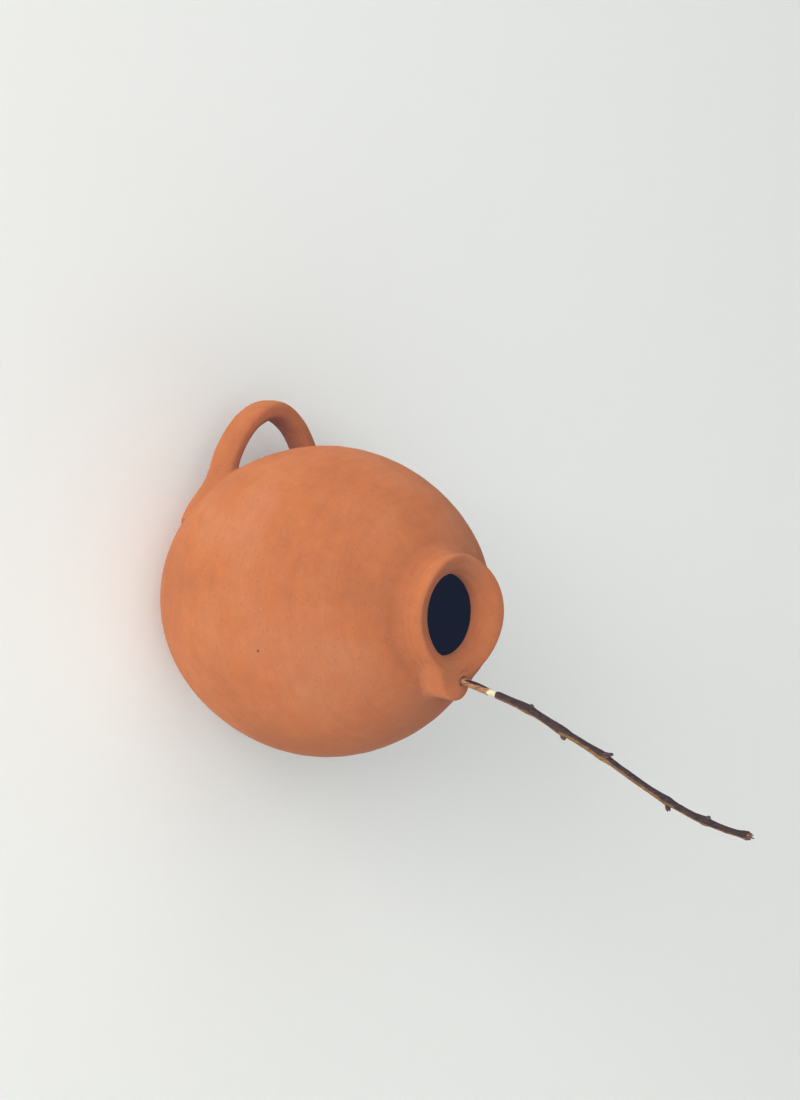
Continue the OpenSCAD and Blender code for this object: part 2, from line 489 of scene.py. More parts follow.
        # Pin holes at known places, each painted dark as painted shade inside the hole and sunk a
        # little in the relief
        hole_sum: Any = None
        for x, y, z, size in self.pits:
            away = add_node(
                tree, "ShaderNodeVectorMath", {"operation": "DISTANCE"},
                {0: place, 1: (x * MM, y * MM, z * MM)},
            )
            spot = add_node(
                tree, "ShaderNodeMapRange", {"interpolation_type": "SMOOTHSTEP"},
                {0: away.outputs["Value"], 1: size * 0.4 * MM, 2: size * MM, 3: 1.0, 4: 0.0},
            )
            hole_sum = spot.outputs[0] if hole_sum is None else math_node(
                tree, "MAXIMUM", hole_sum, spot.outputs[0]
            ).outputs[0]
        if hole_sum is not None:
            colour = add_node(
                tree, "ShaderNodeMix", {"data_type": "RGBA"},
                {0: hole_sum, 6: colour.outputs[2], 7: linear("#5d3122")},
            )
        # The inner wall is painted near black: painted shade for the dark inside of the pot, where
        # little light gets in
        inner_shade_mask = add_node(
            tree, "ShaderNodeAttribute", {"attribute_name": "inner_wall"}
        ).outputs["Fac"]
        inner_shaded = add_node(
            tree, "ShaderNodeMix", {"data_type": "RGBA"},
            {0: inner_shade_mask, 6: colour.outputs[2], 7: linear(self.inner_shade)},
        )
        # Relief: sand grain, rings and a slight orange-peel unevenness, in metres
        sand = add_node(
            tree, "ShaderNodeTexNoise", None,
            {"Vector": place, "Scale": per_mm(0.8), "Detail": 3.0, "Roughness": 0.65},
        )
        peel = add_node(
            tree, "ShaderNodeTexNoise", None,
            {"Vector": place, "Scale": per_mm(5.5), "Detail": 3.0, "Roughness": 0.5},
        )
        relief = math_node(tree, "MULTIPLY_ADD", sand.outputs[0], 0.16, 0.0)
        relief = math_node(tree, "MULTIPLY_ADD", peel.outputs[0], 0.30, relief.outputs[0])
        relief = math_node(tree, "MULTIPLY_ADD", ringed.outputs[0], 0.16, relief.outputs[0])
        if hole_sum is not None:
            relief = math_node(tree, "MULTIPLY_ADD", hole_sum, -0.6, relief.outputs[0])
        bump = add_node(
            tree, "ShaderNodeBump", None,
            {"Strength": 0.75, "Distance": 1.0 * MM, "Height": relief.outputs[0]},
        )
        rough = map_range(tree, mottle.outputs[0], 0.3, 0.7, 0.82, 0.95)
        shader = add_node(
            tree, "ShaderNodeBsdfPrincipled", None,
            {"Base Color": inner_shaded.outputs[2], "Roughness": rough.outputs[0], "IOR": 1.45,
             "Diffuse Roughness": 0.6, "Specular IOR Level": 0.3, "Normal": bump.outputs[0]},
        )
        add_node(tree, "ShaderNodeOutputMaterial", None, {0: shader.outputs[0]})
        return mat


@dataclass(frozen=True)
class TwigSkin:
    """Skin of a garden twig: thin, tight, dark brown bark over wood, split and rubbed.

    The upper side is dark with little gloss, the underside is rubbed to ochre in long streaks.
    """

    name: str
    top: str
    top_pale: str
    rubbed: str
    rubbed_dark: str
    streak_edge: float
    bark_band: tuple[tuple[float, float], ...]
    roughness: float = 0.62

    def material(self) -> bpy.types.Material:
        """Returns the material; it reads the attributes "along" (mm) and "lift"."""
        mat, tree = new_material(self.name)
        along = add_node(tree, "ShaderNodeAttribute", {"attribute_name": "along"}).outputs["Fac"]
        lift = add_node(tree, "ShaderNodeAttribute", {"attribute_name": "lift"}).outputs["Fac"]
        place = add_node(tree, "ShaderNodeTexCoord").outputs["Object"]
        # Fibres run along the twig: features 7 mm long and about 0.4 mm wide
        lengthwise = add_node(
            tree, "ShaderNodeVectorMath", {"operation": "MULTIPLY"},
            {0: place, 1: (1.0, 0.07, 0.8)},
        )
        fibre = add_node(
            tree, "ShaderNodeTexNoise", None,
            {"Vector": lengthwise.outputs[0], "Scale": per_mm(0.55), "Detail": 4.0,
             "Roughness": 0.65},
        )
        blotch = add_node(
            tree, "ShaderNodeTexNoise", None,
            {"Vector": place, "Scale": per_mm(4.0), "Detail": 3.0, "Roughness": 0.6},
        )
        dark = add_node(
            tree, "ShaderNodeMix", {"data_type": "RGBA"},
            {0: map_range(tree, fibre.outputs[0], 0.42, 0.68).outputs[0],
             6: linear(self.top), 7: linear(self.top_pale)},
        )
        light = add_node(
            tree, "ShaderNodeMix", {"data_type": "RGBA"},
            {0: map_range(tree, fibre.outputs[0], 0.38, 0.62).outputs[0],
             6: linear(self.rubbed_dark), 7: linear(self.rubbed)},
        )
        # How much of the girth is rubbed changes along the twig
        places = [p for p, _ in self.bark_band]
        span = places[-1] - places[0]
        amount = map_range(tree, along, places[0], places[-1])
        curve = add_node(
            tree, "ShaderNodeValToRGB",
            {"stops": tuple(
                ((p - places[0]) / span, "#" + f"{int(255 * v):02x}" * 3)
                for p, v in self.bark_band)},
            {0: amount.outputs[0]},
        )
        wander = math_node(tree, "MULTIPLY_ADD", blotch.outputs[0], 1.1, -0.55)
        edge = math_node(tree, "MULTIPLY_ADD", fibre.outputs[0], 0.9, wander.outputs[0])
        level = math_node(tree, "ADD", lift, edge.outputs[0])
        reach = math_node(tree, "SUBTRACT", curve.outputs[0], level.outputs[0])
        mask = map_range(tree, reach.outputs[0], self.streak_edge - 0.12, self.streak_edge + 0.18)
        colour = add_node(
            tree, "ShaderNodeMix", {"data_type": "RGBA"},
            {0: mask.outputs[0], 6: dark.outputs[2], 7: light.outputs[2]},
        )
        relief = add_node(
            tree, "ShaderNodeBump", None,
            {"Strength": 0.8, "Distance": 0.35 * MM, "Height": fibre.outputs[0]},
        )
        rough = map_range(
            tree, blotch.outputs[0], 0.3, 0.7, self.roughness - 0.1, self.roughness + 0.15
        )
        shader = add_node(
            tree, "ShaderNodeBsdfPrincipled", None,
            {"Base Color": colour.outputs[2], "Roughness": rough.outputs[0], "IOR": 1.5,
             "Specular IOR Level": 0.2,
             "Normal": relief.outputs[0]},
        )
        add_node(tree, "ShaderNodeOutputMaterial", None, {0: shader.outputs[0]})
        return mat


@dataclass(frozen=True)
class PeeledWood:
    """Sapwood with the bark cut away: a cream ring where the knife went deep, and behind it a
    stretch still covered by the orange inner bark, dried and streaked."""

    name: str = "peeled_sapwood"
    inner_bark: str = "#a8733f"
    inner_dark: str = "#5c3820"
    cream: str = "#cfcaab"
    cream_dark: str = "#b5ad86"
    cream_from: float = 17.6
    cream_to: float = 24.6

    def material(self) -> bpy.types.Material:
        """Returns the material; it reads the attribute "along" (mm)."""
        mat, tree = new_material(self.name)
        along = add_node(tree, "ShaderNodeAttribute", {"attribute_name": "along"}).outputs["Fac"]
        place = add_node(tree, "ShaderNodeTexCoord").outputs["Object"]
        lengthwise = add_node(
            tree, "ShaderNodeVectorMath", {"operation": "MULTIPLY"},
            {0: place, 1: (1.0, 0.1, 0.8)},
        )
        fibre = add_node(
            tree, "ShaderNodeTexNoise", None,
            {"Vector": lengthwise.outputs[0], "Scale": per_mm(0.6), "Detail": 4.0,
             "Roughness": 0.65},
        )
        grain = map_range(tree, fibre.outputs[0], 0.4, 0.62)
        behind = add_node(
            tree, "ShaderNodeMix", {"data_type": "RGBA"},
            {0: grain.outputs[0], 6: linear(self.inner_dark), 7: linear(self.inner_bark)},
        )
        fresh = add_node(
            tree, "ShaderNodeMix", {"data_type": "RGBA"},
            {0: grain.outputs[0], 6: linear(self.cream_dark), 7: linear(self.cream)},
        )
        ragged = math_node(tree, "MULTIPLY_ADD", fibre.outputs[0], 3.0, along)
        starts = map_range(tree, ragged.outputs[0], self.cream_from + 1.2, self.cream_from + 1.6)
        stops = map_range(tree, along, self.cream_to + 4.0, self.cream_to + 5.0, 1.0, 0.0)
        band = math_node(tree, "MULTIPLY", starts.outputs[0], stops.outputs[0])
        colour = add_node(
            tree, "ShaderNodeMix", {"data_type": "RGBA"},
            {0: band.outputs[0], 6: behind.outputs[2], 7: fresh.outputs[2]},
        )
        relief = add_node(
            tree, "ShaderNodeBump", None,
            {"Strength": 0.7, "Distance": 0.3 * MM, "Height": fibre.outputs[0]},
        )
        shader = add_node(
            tree, "ShaderNodeBsdfPrincipled", None,
            {"Base Color": colour.outputs[2], "Roughness": 0.6, "IOR": 1.5,
             "Normal": relief.outputs[0]},
        )
        add_node(tree, "ShaderNodeOutputMaterial", None, {0: shader.outputs[0]})
        return mat


@dataclass(frozen=True)
class WallPaint:
    """Matt off-white emulsion on plaster. From behind it lets the view through."""

    name: str = "wall_paint"
    paint: str = "#eef0ee"

    def material(self) -> bpy.types.Material:
        """Returns the paint, clear on its back face so that the pot's back can be looked at."""
        mat, tree = new_material(self.name)
        place = add_node(tree, "ShaderNodeTexCoord").outputs["Object"]
        stipple = add_node(
            tree, "ShaderNodeTexNoise", None,
            {"Vector": place, "Scale": per_mm(1.6), "Detail": 3.0, "Roughness": 0.6},
        )
        bump = add_node(
            tree, "ShaderNodeBump", None,
            {"Strength": 0.25, "Distance": 0.2 * MM, "Height": stipple.outputs[0]},
        )
        paint = add_node(
            tree, "ShaderNodeBsdfPrincipled", None,
            {"Base Color": linear(self.paint), "Roughness": 0.9, "Specular IOR Level": 0.2,
             "Normal": bump.outputs[0]},
        )
        side = add_node(tree, "ShaderNodeNewGeometry").outputs["Backfacing"]
        clear = add_node(tree, "ShaderNodeBsdfTransparent")
        both = add_node(
            tree, "ShaderNodeMixShader", None, {0: side, 1: paint.outputs[0], 2: clear.outputs[0]}
        )
        add_node(tree, "ShaderNodeOutputMaterial", None, {0: both.outputs[0]})
        return mat


# ---------------------------------------------------------------- the pot


@dataclass
class ThrownPot:
    """The wheel-thrown body: back, belly, neck, rolled rim and inner wall, as one clay shell."""

    belly_radius: float = 85.0
    belly_middle: float = 82.0
    shoulder: float = 95.0
    back: float = 97.0
    fullness: float = 1.9
    wall: float = 6.0
    back_wall: float = 7.0
    neck_start: float = 163.0
    rim_start: float = 172.0
    rim_front: float = 179.5
    rim_radius: float = 33.0
    roll: float = 1.6
    columns: int = 300
    outline: np.ndarray = field(default_factory=lambda: np.zeros((0, 2)))
    inner_from: int = 0

    def bulge(self, reach: np.ndarray, inset: float) -> np.ndarray:
        """Works out the belly's radius.

        Args:
            reach: distances out from the wall, in millimetres.
            inset: how far the surface is set in from the outside, in millimetres.

        Returns:
            The radius at each reach, in millimetres.
        """
        side = np.where(reach > self.belly_middle, self.shoulder - inset, self.back - inset)
        t = np.abs(reach - self.belly_middle) / side
        return (self.belly_radius - inset) * np.sqrt(np.maximum(1 - t**self.fullness, 0))

    def make_outline(self) -> None:
        """Lays out the turned outline as (radius, reach) rows from back centre to back inside."""
        s = np.sin
        foot = float(self.bulge(np.array(1.2), 0.0))
        rows = [np.stack([np.linspace(0, foot - 2.2, 12), np.zeros(12)], -1)]
        a = np.linspace(0.15, 1.0, 5) * np.pi / 2
        rows.append(np.stack([foot - 1.4 + 1.4 * s(a), 1.2 - 1.2 * np.cos(a)], -1))
        d = np.linspace(2.4, self.neck_start, 128)
        rows.append(np.stack([self.bulge(d, 0.0), d], -1))
        t = np.linspace(0.06, 1.0, 22)
        shoulder = float(self.bulge(np.array(self.neck_start), 0.0))
        blend = s(t * np.pi / 2) ** 0.85
        neck = shoulder + (self.rim_radius - 0.8 - shoulder) * blend
        up = self.neck_start + (self.rim_start - self.neck_start) * t**1.1
        neck = neck - 0.50 * bell(up, 165.2, 1.1) + 0.45 * bell(up, 170.0, 1.2)
        rows.append(np.stack([neck, up], -1))
        centre = np.array([self.rim_radius - self.roll + 0.3, self.rim_front - self.roll])
        a = np.radians(np.linspace(-48, 106, 26))
        rows.append(centre + self.roll * np.stack([np.cos(a), s(a)], -1))
        inner = np.array([
            [28.4, 179.0], [26.9, 178.4], [25.5, 177.7], [24.4, 176.9], [23.65, 175.9],
            [23.3, 174.9], [23.05, 174.1], [22.0, 173.4], [21.55, 171.4], [21.5, 170.2],
            [21.45, 169.0], [21.4, 168.0], [21.5, 167.3], [21.95, 166.85], [22.8, 166.6],
            [24.2, 166.35], [25.8, 166.0],
        ])
        rows.append(inner)
        d = np.concatenate([np.linspace(165.4, 155.0, 12), np.linspace(152.0, self.back_wall, 52)])
        well = self.bulge(d, self.wall)
        well = np.minimum(well, 26.9 + (165.7 - d) * 2.2)
        rows.append(np.stack([well, d], -1))
        rows.append(np.stack([np.linspace(well[-1] - 3.5, 0, 9), np.full(9, self.back_wall)], -1))
        line = np.concatenate(rows)
        self.inner_from = sum(len(r) for r in rows[:5]) + 11
        for _ in range(4):
            mid = line.copy()
            mid[1:-1] = line[1:-1] * 0.5 + (line[:-2] + line[2:]) * 0.25
            soft = bell(line[:, 1], 165.0, 5.0) * (line[:, 0] > 30)
            line = line + (mid - line) * np.minimum(soft * 1.4, 1.0)[:, None]
        self.outline = line

    def by_hand(self, radius: np.ndarray, turn: np.ndarray, reach: np.ndarray) -> np.ndarray:
        """How far the hand-made surface stands off the perfect turned one.

        Args:
            radius: distance from the axis on the turned surface, in millimetres.
            turn: angle round the axis, 0 at the top.
            reach: distance out from the wall.

        Returns:
            An (n, 2) array of offsets in radius and in reach.
        """
        free = smoothstep(4, 40, reach)
        out = smoothstep(20, 45, radius)
        wave = 0.30 * np.cos(2 * turn + 0.7 + reach * 0.011)
        wave = wave + 0.20 * np.cos(3 * turn - 1.1 - reach * 0.017)
        wave = wave + 0.10 * np.cos(5 * turn + 2.0 + reach * 0.03)
        spiral = np.cos(2 * np.pi * reach / 9.5 + turn) * 0.05
        spiral = spiral + np.cos(2 * np.pi * reach / 5.7 + turn + 1.3) * 0.035
        d_radius = (wave + spiral) * free * out
        # The rolled lip is thinner at the top and leans forward on the right
        lip = smoothstep(157, 172, reach) * smoothstep(25, 31, radius)
        d_radius = d_radius - 2.4 * (0.5 + 0.5 * np.cos(turn)) ** 2 * lip
        throat = smoothstep(27, 23, radius) * smoothstep(160, 168, reach)
        d_radius = d_radius - 1.3 * np.cos(turn) * throat
        d_radius = d_radius + 0.35 * np.cos(4 * turn + 0.4) * lip
        right = np.maximum(np.sin(turn - 0.15), 0.0) ** 2
        d_reach = 1.5 * right * smoothstep(170, 179, reach) * smoothstep(23, 30, radius)
        d_reach = d_reach + 0.22 * np.cos(3 * turn + 1.0) * smoothstep(170, 178, reach)
        # A soft crease low on the left where the wall was pressed
        x, z = radius * np.sin(turn), radius * np.cos(turn)
        across = (z + 71.0 + 0.22 * (reach - 100.0)) / 2.2
        crease = np.exp(-(across**2)) * bell(reach, 101.0, 22.0) * (x < 30)
        d_radius = d_radius - 0.35 * crease
        return np.stack([d_radius, d_reach], -1)

    def build(self, clay: bpy.types.Material) -> bpy.types.Object:
        """Turns the outline round the axis and works the surface by hand.

        Args:
            clay: the material.

        Returns:
            The closed pot.
        """
        self.make_outline()
        flat = np.zeros(len(self.outline))
        rows = np.column_stack([self.outline[:, 0], -self.outline[:, 1], flat])
        source = new_object("pot_outline", rows, [])
        tree, group = new_tree(
            "wheel_throwing",
            (("Columns", "NodeSocketInt", 12), ("Weld", "NodeSocketFloat", 1e-6),
             ("Clay", "NodeSocketMaterial", None)),
        )
        columns = group.outputs["Columns"]
        count = add_node(
            tree, "GeometryNodeAttributeDomainSize", {"component": "MESH"}, {0: group.outputs[0]}
        ).outputs[0]
        one_more = math_node(tree, "ADD", columns, 1.0)
        grid = add_node(
            tree, "GeometryNodeMeshGrid", None,
            {"Size X": 1.0, "Size Y": 1.0, "Vertices X": one_more.outputs[0], "Vertices Y": count},
        )
        index = add_node(tree, "GeometryNodeInputIndex").outputs[0]
        row = math_node(tree, "FLOORED_MODULO", index, count)
        ratio = math_node(tree, "DIVIDE", index, count)
        column = math_node(tree, "FLOOR", ratio.outputs[0])
        place = add_node(tree, "GeometryNodeInputPosition").outputs[0]
        taken = add_node(
            tree, "GeometryNodeSampleIndex",
            {"data_type": "FLOAT_VECTOR", "domain": "POINT"},
            {"Geometry": group.outputs[0], "Value": place, "Index": row.outputs[0]},
        )
        split = add_node(tree, "ShaderNodeSeparateXYZ", None, {0: taken.outputs[0]})
        share = math_node(tree, "DIVIDE", column.outputs[0], columns)
        angle = math_node(tree, "MULTIPLY", share.outputs[0], math.tau)
        wave_x = math_node(tree, "SINE", angle.outputs[0])
        wave_z = math_node(tree, "COSINE", angle.outputs[0])
        x = math_node(tree, "MULTIPLY", split.outputs[0], wave_x.outputs[0])
        z = math_node(tree, "MULTIPLY", split.outputs[0], wave_z.outputs[0])
        spot = add_node(
            tree, "ShaderNodeCombineXYZ", None,
            {0: x.outputs[0], 1: split.outputs[1], 2: z.outputs[0]},
        )
        turned = add_node(
            tree, "GeometryNodeSetPosition", None,
            {"Geometry": grid.outputs[0], "Position": spot.outputs[0]},
        )
        welded = add_node(
            tree, "GeometryNodeMergeByDistance", None,
            {"Geometry": turned.outputs[0], "Distance": group.outputs["Weld"]},
        )
        finish_tree(tree, welded.outputs[0], group.outputs["Clay"])
        pot = bake_tree(source, tree, {"Columns": self.columns, "Clay": clay}, "thrown_pot")
        self.work(pot)
        return pot

    def work(self, pot: bpy.types.Object) -> None:
        """Moves the turned mesh as the potter's hands did and marks its inner wall.

        Args:
            pot: the turned pot, whose mesh is changed.
        """
        mesh = pot.data
        co = np.zeros(len(mesh.vertices) * 3)
        mesh.vertices.foreach_get("co", co)
        co = co.reshape(-1, 3) / MM
        radius, reach = np.hypot(co[:, 0], co[:, 2]), -co[:, 1]
        turn = np.arctan2(co[:, 0], co[:, 2])
        row = np.zeros(len(co), int)
        for part in np.array_split(np.arange(len(co)), 40):
            gap = (radius[part, None] - self.outline[None, :, 0]) ** 2
            gap = gap + (reach[part, None] - self.outline[None, :, 1]) ** 2
            row[part] = gap.argmin(1)
        inner = smoothstep(self.inner_from, self.inner_from + 5, row.astype(float))
        deep = smoothstep(self.inner_from + 3, self.inner_from + 12, row.astype(float))
        move = self.by_hand(radius, turn, reach) * (1 - deep)[:, None]
        radius, reach = radius + move[:, 0], reach + move[:, 1]
        # Room for the twig hole behind the lug's face
        x, z = radius * np.sin(turn), radius * np.cos(turn)
        near = np.exp(-((x - 1.5) / 3.4) ** 4) * (z < 0) * (row < self.inner_from - 6)
        near = near * smoothstep(168.0, 171.0, reach) * smoothstep(28.5, 31.0, radius)
        radius = radius - 2.6 * near
        spots = np.stack([radius * np.sin(turn), -reach, radius * np.cos(turn)], -1)
        mesh.vertices.foreach_set("co", (spots * MM).ravel())
        store = mesh.attributes.new("inner_wall", "FLOAT", "POINT")
        store.data.foreach_set("value", inner)
        mesh.update()
        volume = face_outwards(mesh)
        LOG.info("%s: %d vertices, %.0f cm3 of clay", pot.name, len(mesh.vertices), volume * 1e6)

    def solid_table(self) -> "TurnedSolid":
        """Returns the turned outside as a table of signed distances."""
        last = self.inner_from - 2
        line = np.concatenate([self.outline[:last], [[0.0, self.outline[last - 1, 1]]]])
        return TurnedSolid(self, line)


def signed_volume(mesh: bpy.types.Mesh) -> float:
    """Measures a closed mesh.

    Args:
        mesh: the mesh.

    Returns:
        The volume inside it in cubic metres, negative if its faces point inwards.
    """
    mesh.calc_loop_triangles()
    co = np.zeros(len(mesh.vertices) * 3)
    mesh.vertices.foreach_get("co", co)
    tri = np.zeros(len(mesh.loop_triangles) * 3, int)
    mesh.loop_triangles.foreach_get("vertices", tri)
    a, b, c = co.reshape(-1, 3)[tri.reshape(-1, 3)].transpose(1, 0, 2)
    return float((a * np.cross(b, c)).sum() / 6)


def face_outwards(mesh: bpy.types.Mesh) -> float:
    """Turns the faces of a closed mesh round if they point inwards.

    Args:
        mesh: the mesh.

    Returns:
        The volume inside it in cubic metres.
    """
    volume = signed_volume(mesh)
    if volume < 0:
        mesh.flip_normals()
    return abs(volume)


class TurnedSolid:
    """Signed distance to the hand-worked outside of the pot, read from a table."""

    STEP = 0.4
    REACH_LOW = -8.0

    def __init__(self, pot: ThrownPot, line: np.ndarray) -> None:
        """Fills the table of distances to the outline, on a (radius, reach) grid.

        Args:
            pot: the pot, which knows its hand-worked offsets.
            line: the outline as (radius, reach) rows in millimetres.
        """
        self.pot = pot
        radii = np.arange(0, 118, self.STEP)
        reaches = np.arange(self.REACH_LOW, 196, self.STEP)
        self.shape = (len(radii), len(reaches))
        points = np.stack(np.meshgrid(radii, reaches, indexing="ij"), -1).reshape(-1, 2)
        best = np.full(len(points), 1e9)
        inside = np.zeros(len(points), bool)
        for a, b in zip(line[:-1], line[1:]):
            run = b - a
            t = np.clip(((points - a) @ run) / max(run @ run, 1e-9), 0, 1)
            best = np.minimum(best, ((points - a - t[:, None] * run) ** 2).sum(-1))
            if a[1] != b[1]:
                hit = (points[:, 1] >= min(a[1], b[1])) & (points[:, 1] < max(a[1], b[1]))
                cross = a[0] + (points[:, 1] - a[1]) / (b[1] - a[1]) * run[0]
                inside ^= hit & (points[:, 0] < cross)
        distance = np.sqrt(best)
        self.table = np.where(inside, -distance, distance).reshape(self.shape)

    def distance(self, points: np.ndarray) -> np.ndarray:
        """Measures how far points are from the pot's outside.

        Args:
            points: (n, 3) array in millimetres.

        Returns:
            Signed distances in millimetres, negative inside.
        """
        turn = np.arctan2(points[:, 0], points[:, 2])
        radius0 = np.hypot(points[:, 0], points[:, 2])
        reach0 = -points[:, 1]
        radius, reach = radius0, reach0
        for _ in range(4):
            move = self.pot.by_hand(radius, turn, reach)
            radius, reach = radius0 - move[:, 0], reach0 - move[:, 1]
        i = np.clip(radius / self.STEP, 0, self.shape[0] - 1.001)
        j = np.clip((reach - self.REACH_LOW) / self.STEP, 0, self.shape[1] - 1.001)
        i0, j0 = i.astype(int), j.astype(int)
        u, v = i - i0, j - j0
        t = self.table
        low = t[i0, j0] * (1 - u) + t[i0 + 1, j0] * u
        high = t[i0, j0 + 1] * (1 - u) + t[i0 + 1, j0 + 1] * u
        return low * (1 - v) + high * v


@dataclass
class TwigHole:
    """The blind hole for the twig, falling outwards, with a softened mouth."""

    x: float = 1.5
    drop: float = 35.5
    front: float = 179.5
    radius: float = 2.4
    depth: float = 14.0
    fall: float = math.radians(13.0)

    def axis(self) -> np.ndarray:
        """Returns the direction out of the hole."""
        return np.array([0.0, -math.cos(self.fall), -math.sin(self.fall)])

    def distance(self, points: np.ndarray) -> np.ndarray:
        """Measures how far points are from the empty space of the hole.

        Args:
            points: (n, 3) array in millimetres.

        Returns:
            Signed distances in millimetres, negative in the hole.
        """
        away = points - np.array([self.x, -self.front, -self.drop])
        out = away @ self.axis()
        side = np.sqrt(np.maximum((away**2).sum(-1) - out**2, 0))
        wide = self.radius + 1.5 * smoothstep(-1.2, 0.9, out)
        return np.maximum(side - wide, -self.depth - out)


@dataclass
class PerchLug:
    """The tongue of clay below the rim that carries the twig."""

    x: float = -2.0
    drop: float = 45.5
    radius: float = 12.5
    ear_x: float = 17.0
    ear_z: float = -21.5
    ear_radius: float = 4.0
    front: float = 178.9
    back: float = 148.0
    edge: float = 2.3
    fillet: float = 3.8
    step: float = 0.7

    def outline(self) -> np.ndarray:
        """Returns the corners, in order, of the tongue's outline seen from the front."""
        turn = np.linspace(0, math.tau, 48, endpoint=False)
        ring = np.stack([np.cos(turn), np.sin(turn)], -1)
        inset = self.edge
        dots = np.concatenate([
            [self.x, self.radius - self.drop] + (self.radius - inset) * ring,
            [self.ear_x, self.ear_z] + (self.ear_radius - inset) * ring,
            [-self.ear_x, self.ear_z] + (self.ear_radius - inset) * ring,
        ])
        start = int(dots[:, 0].argmin())
        hull = [start]
        while True:
            here = dots[hull[-1]]
            away = dots - here
            best = int((hull[-1] + 1) % len(dots))
            for k in range(len(dots)):
                side = away[best][0] * away[k][1] - away[best][1] * away[k][0]
                longer = (away[k] ** 2).sum() > (away[best] ** 2).sum()
                if side < -1e-9 or (abs(side) <= 1e-9 and longer):
                    best = k
            if best == start or len(hull) > len(dots):
                return dots[hull]
            hull.append(best)

    def build(self, pot: TurnedSolid, hole: TwigHole) -> bpy.types.Object:
        """Shapes the lug, smooths it on to the neck and drills the hole.

        Args:
            pot: the pot's outside.
            hole: the twig hole.

        Returns:
            The closed lug, sunk a little into the neck.
        """
        corners = self.outline()
        after = np.roll(corners, -1, axis=0)

        def tongue(points: np.ndarray) -> np.ndarray:
            """Measures to the rounded slab, which thins towards its root.

            Args:
                points: (n, 3) array in millimetres.

            Returns:
                Signed distances in millimetres, negative inside.
            """
            flat = points[:, [0, 2]]
            reach = -points[:, 1]
            best = np.full(len(flat), 1e9)
            outside = np.full(len(flat), -1e9)
            for a, b in zip(corners, after):
                run = b - a
                t = np.clip(((flat - a) @ run) / (run @ run), 0, 1)
                best = np.minimum(best, ((flat - a - t[:, None] * run) ** 2).sum(-1))
                normal = np.array([run[1], -run[0]]) / np.hypot(*run)
                outside = np.maximum(outside, (flat - a) @ normal)
            side = np.where(outside > 0, np.sqrt(best), -np.sqrt(best))
            side = side + 0.09 * np.clip(176.5 - reach, 0, 30)
            # The face is patted down: a shallow dome, a little lower round its edge
            face = self.front - 0.012 * (flat[:, 0] - self.x) ** 2 * smoothstep(30, 40, -flat[:, 1])
            lift = np.maximum(reach - (face - self.edge), self.back - reach)
            both = np.minimum(np.maximum(side, lift), 0)
            return both + np.hypot(np.maximum(side, 0), np.maximum(lift, 0)) - self.edge

        def lug(points: np.ndarray) -> np.ndarray:
            """Measures to the lug with its fillet, less the hole and the pot's inside.

            Args:
                points: (n, 3) array in millimetres.

            Returns:
                Signed distances in millimetres, negative inside.
            """
            wall = pot.distance(points)
            slab = tongue(points)
            radius = np.hypot(points[:, 0], points[:, 2])
            fillet = self.fillet * smoothstep(29.5, 35.5, radius) + 0.01
            sink = 0.06 + 0.3 * smoothstep(self.fillet - 1.0, self.fillet + 0.6, slab)
            shape = soft_join(wall + sink, slab, fillet)
            shape = np.maximum(shape, slab - self.fillet - 1.0)
            shape = np.maximum(shape, -(wall + 3.0))
            shape = np.maximum(shape, 28.6 - radius)
            return np.maximum(shape, -hole.distance(points))

        points, quads = surface_of(lug, (-38, -185, -56), (38, -140, 2), self.step)
        piece = new_object("perch_lug_clay", points, quads)
        face_outwards(piece.data)
        LOG.info("%s: %d vertices", piece.name, len(piece.data.vertices))
        return piece


